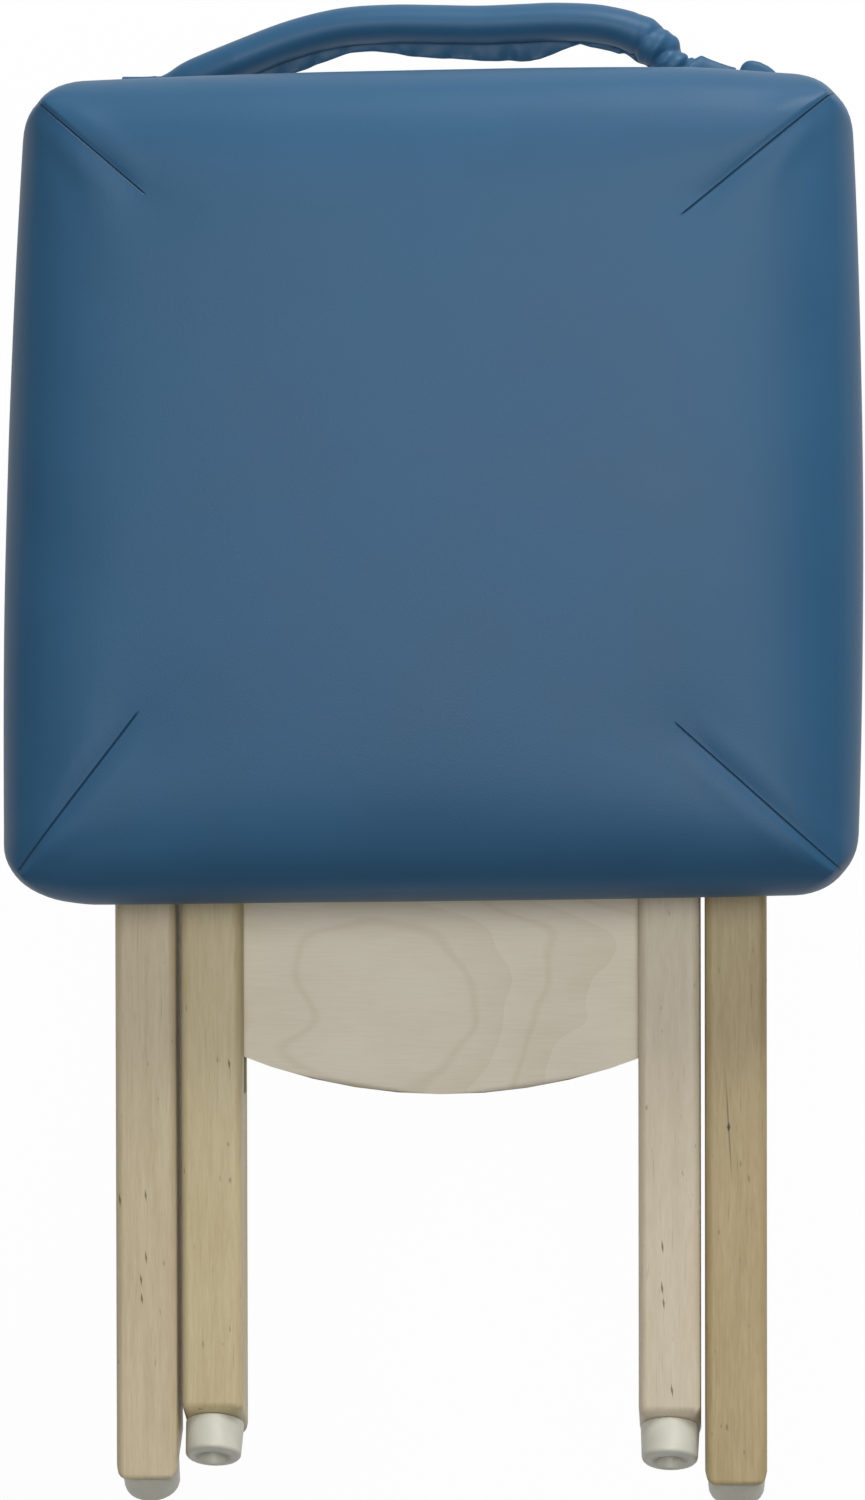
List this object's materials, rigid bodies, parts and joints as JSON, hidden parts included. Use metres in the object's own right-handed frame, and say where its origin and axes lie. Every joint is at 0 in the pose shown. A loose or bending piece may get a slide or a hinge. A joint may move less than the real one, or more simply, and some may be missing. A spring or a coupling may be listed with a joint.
{
  "type": "folding stool",
  "caption": "Folding stool with crossed wooden leg frames, a padded vinyl seat, a plywood brace, moulded feet and a soft carry handle, shown folded flat.",
  "frame": {"origin": "middle of the base of the folded stool's box as it lies on its leg frames", "axes": "+X across the stool to the right, +Y along the legs towards the carry handle, +Z from the legs up to the cushion"},
  "size_m": [0.3858, 0.6816, 0.1035],
  "materials": {
    "maple": "satin clear lacquer over fine straight grain",
    "plywood": "pale rotary-cut face veneer, clear sealed",
    "vinyl": "smooth matte blue upholstery vinyl",
    "foam": "open-cell upholstery foam",
    "rubber": "off-white moulded rubber, slight sheen",
    "steel": "zinc-plated steel"
  },
  "bodies": {
    "outer_frame": {"outer_leg_left": "maple", "outer_leg_right": "maple", "outer_foot_left": "rubber", "outer_foot_right": "rubber", "outer_foot_screw_left": "steel", "outer_foot_screw_right": "steel", "outer_top_rail": "maple", "top_rail_screw_left": "steel", "top_rail_screw_right": "steel", "pivot_bolt_left": "steel", "pivot_bolt_right": "steel", "pivot_washer_left": "steel", "pivot_washer_right": "steel", "pivot_nut_left": "steel", "pivot_nut_right": "steel", "hinge_bolt_left": "steel", "hinge_bolt_right": "steel", "hinge_washer_left": "steel", "hinge_washer_right": "steel"},
    "inner_frame": {"inner_leg_left": "maple", "inner_leg_right": "maple", "inner_foot_left": "rubber", "inner_foot_right": "rubber", "inner_foot_screw_left": "steel", "inner_foot_screw_right": "steel", "brace": "plywood", "inner_top_dowel": "maple"},
    "seat": {"seat_board": "plywood", "rail_screw_left_1": "steel", "rail_screw_left_2": "steel", "rail_screw_right_1": "steel", "rail_screw_right_2": "steel", "cleat_screw_left_1": "steel", "cleat_screw_left_2": "steel", "cleat_screw_right_1": "steel", "cleat_screw_right_2": "steel", "seat_rail_left": "maple", "catch_cleat_left": "maple", "seat_rail_right": "maple", "catch_cleat_right": "maple", "seat_cover": "vinyl", "seat_foam": "foam", "handle_tab_left": "vinyl", "handle_tab_right": "vinyl", "tab_screw_left": "steel", "tab_screw_right": "steel"},
    "handle": {"handle_cover": "vinyl", "handle_core": "foam"}
  },
  "joints": [
    {"name": "leg_fold", "type": "hinge", "parent": "outer_frame", "child": "inner_frame", "pos_m": [0, 0.05319, 0.01898], "axis": [1, 0, 0], "range_deg": [0, 64]},
    {"name": "seat_fold", "type": "hinge", "parent": "outer_frame", "child": "seat", "pos_m": [0, 0.17319, 0.01898], "axis": [1, 0, 0], "range_deg": [-56, 0]},
    {"name": "handle_swing", "type": "hinge", "parent": "seat", "child": "handle", "pos_m": [0, 0.29719, 0.02898], "axis": [1, 0, 0], "range_deg": [-80, 0]}
  ],
  "couplings": [
    {"joint": "seat_fold", "follows": "leg_fold", "ratio": -0.875}
  ]
}
